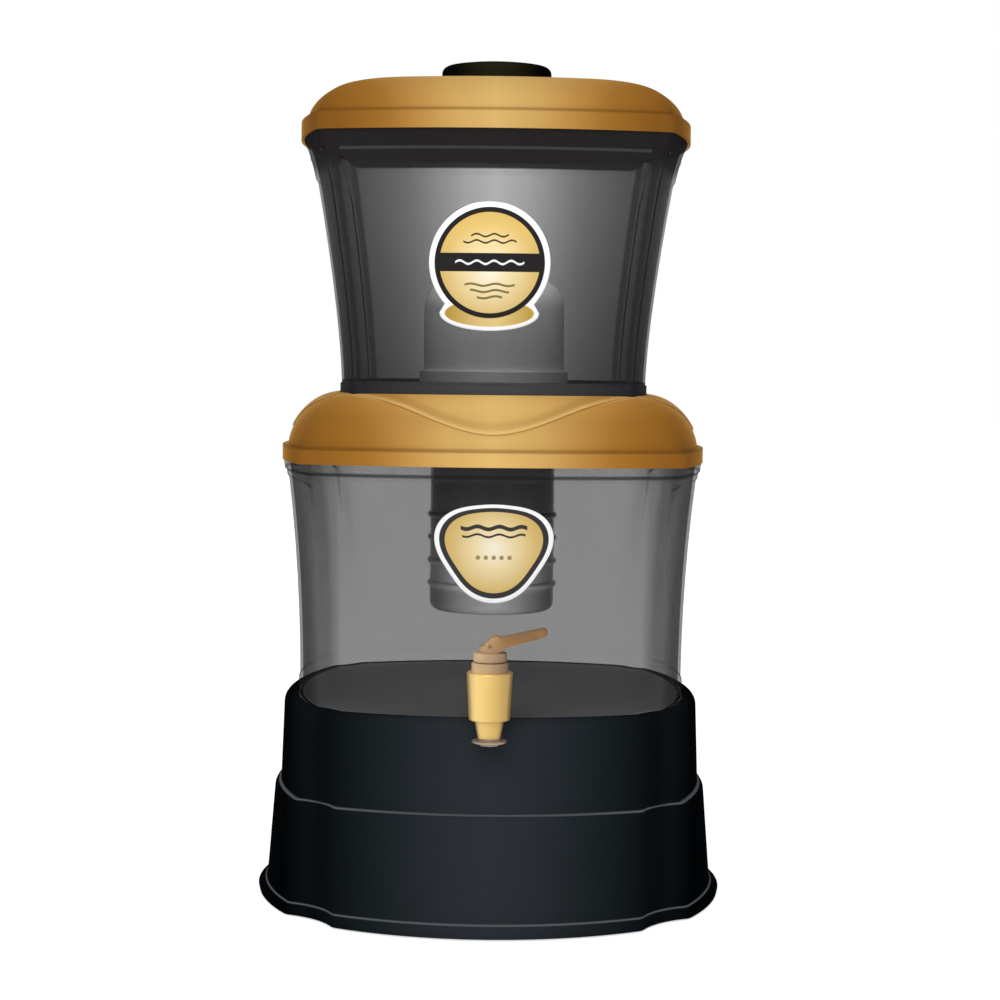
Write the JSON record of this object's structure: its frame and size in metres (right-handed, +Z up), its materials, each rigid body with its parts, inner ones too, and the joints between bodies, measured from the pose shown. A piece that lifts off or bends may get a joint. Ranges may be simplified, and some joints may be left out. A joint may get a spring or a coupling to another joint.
{
  "type": "gravity water filter",
  "caption": "Gravity water filter: smoked upper and lower tanks on a black stand, gold lids, ceramic dome, layered mineral cartridge and a gold lever tap",
  "frame": {"origin": "on the table, under the middle of the stand", "axes": "+Z up, -Y towards the front with the tap, +X to the right seen from the front"},
  "size_m": [0.3172, 0.3327, 0.566],
  "materials": {
    "stand_plastic": "satin black moulded plastic",
    "foot_rubber": "matt black rubber",
    "smoked_tank": "clear smoked grey plastic",
    "gold_lid": "satin metallic gold plastic",
    "black_knob": "gloss black plastic",
    "gold_tap": "polished gold plating",
    "amber_plastic": "translucent amber plastic",
    "white_seal": "white silicone",
    "steel": "plain stainless steel",
    "white_plastic": "white plastic",
    "clear_plastic": "clear plastic",
    "ceramic": "unglazed white ceramic",
    "black_carbon": "granular active carbon",
    "smoked_cartridge": "clear dark smoked plastic",
    "mesh_white": "white filter felt",
    "ceramic_balls": "bed of fired ceramic balls",
    "silica_sand": "bed of pale silica sand",
    "zeolite": "bed of green-grey zeolite",
    "mineral_sand": "bed of mineral sand"
  },
  "bodies": {
    "stand": {"stand_shell": "stand_plastic", "stand_feet": "foot_rubber"},
    "lower_tank": {"lower_tank": "smoked_tank", "tap_body": "gold_tap", "tap_outer_washer": "white_seal", "tap_inner_washer": "white_seal", "tap_nut": "white_plastic", "tap_spout_ring": "gold_tap", "tap_bonnet": "amber_plastic"},
    "tap_swivel": {"tap_swivel_collar": "amber_plastic"},
    "tap_valve": {"tap_stem": "white_plastic", "tap_seat_seal": "white_seal", "tap_lever_pin": "steel", "tap_spring": "steel"},
    "tap_lever": {"tap_lever": "amber_plastic"},
    "middle_lid": {"middle_lid": "gold_lid", "middle_lid_seat": "gold_lid", "middle_lid_plug": "clear_plastic"},
    "upper_tank": {"upper_tank": "smoked_tank", "dome_filter": "ceramic", "dome_carbon_core": "black_carbon", "dome_base": "white_plastic", "dome_washer": "white_seal", "dome_lock_nut": "white_plastic", "cartridge_cap": "smoked_cartridge", "cartridge_seal": "white_seal", "cartridge_housing": "smoked_cartridge", "cartridge_rings": "smoked_cartridge", "cartridge_bottom_grille": "smoked_cartridge", "divider_screens": "mesh_white", "ceramic_ball_bed": "ceramic_balls", "silica_bed": "silica_sand", "zeolite_bed": "zeolite", "mineral_bed": "mineral_sand", "carbon_bed": "black_carbon"},
    "top_lid": {"top_lid": "gold_lid", "top_lid_plug": "clear_plastic", "lid_knob": "black_knob", "knob_screw": "steel"}
  },
  "joints": [
    {"name": "lower_tank_lift", "type": "slide", "parent": "stand", "child": "lower_tank", "axis": [0, 0, 1], "range_m": [0, 0.08]},
    {"name": "middle_lid_lift", "type": "slide", "parent": "lower_tank", "child": "middle_lid", "axis": [0, 0, 1], "range_m": [0, 0.15]},
    {"name": "upper_tank_lift", "type": "slide", "parent": "middle_lid", "child": "upper_tank", "axis": [0, 0, 1], "range_m": [0, 0.17]},
    {"name": "top_lid_lift", "type": "slide", "parent": "upper_tank", "child": "top_lid", "axis": [0, 0, 1], "range_m": [0, 0.06]},
    {"name": "tap_swivel", "type": "hinge", "parent": "lower_tank", "child": "tap_swivel", "pos_m": [0, -0.15966, 0.179], "axis": [0, 0, 1], "range_deg": [-200, 20]},
    {"name": "stem_lift", "type": "slide", "parent": "tap_swivel", "child": "tap_valve", "axis": [0, 0, 1], "range_m": [0, 0.00207], "stiffness_N_per_m": 1000, "springref_m": -0.003, "deforming": ["tap_spring"]},
    {"name": "lever_tilt", "type": "hinge", "parent": "tap_valve", "child": "tap_lever", "pos_m": [0, -0.15966, 0.1862], "axis": [0, 1, 0], "range_deg": [0, 30]}
  ],
  "couplings": [
    {"joint": "lever_tilt", "follows": "stem_lift", "rad_per_m": 252.9}
  ]
}
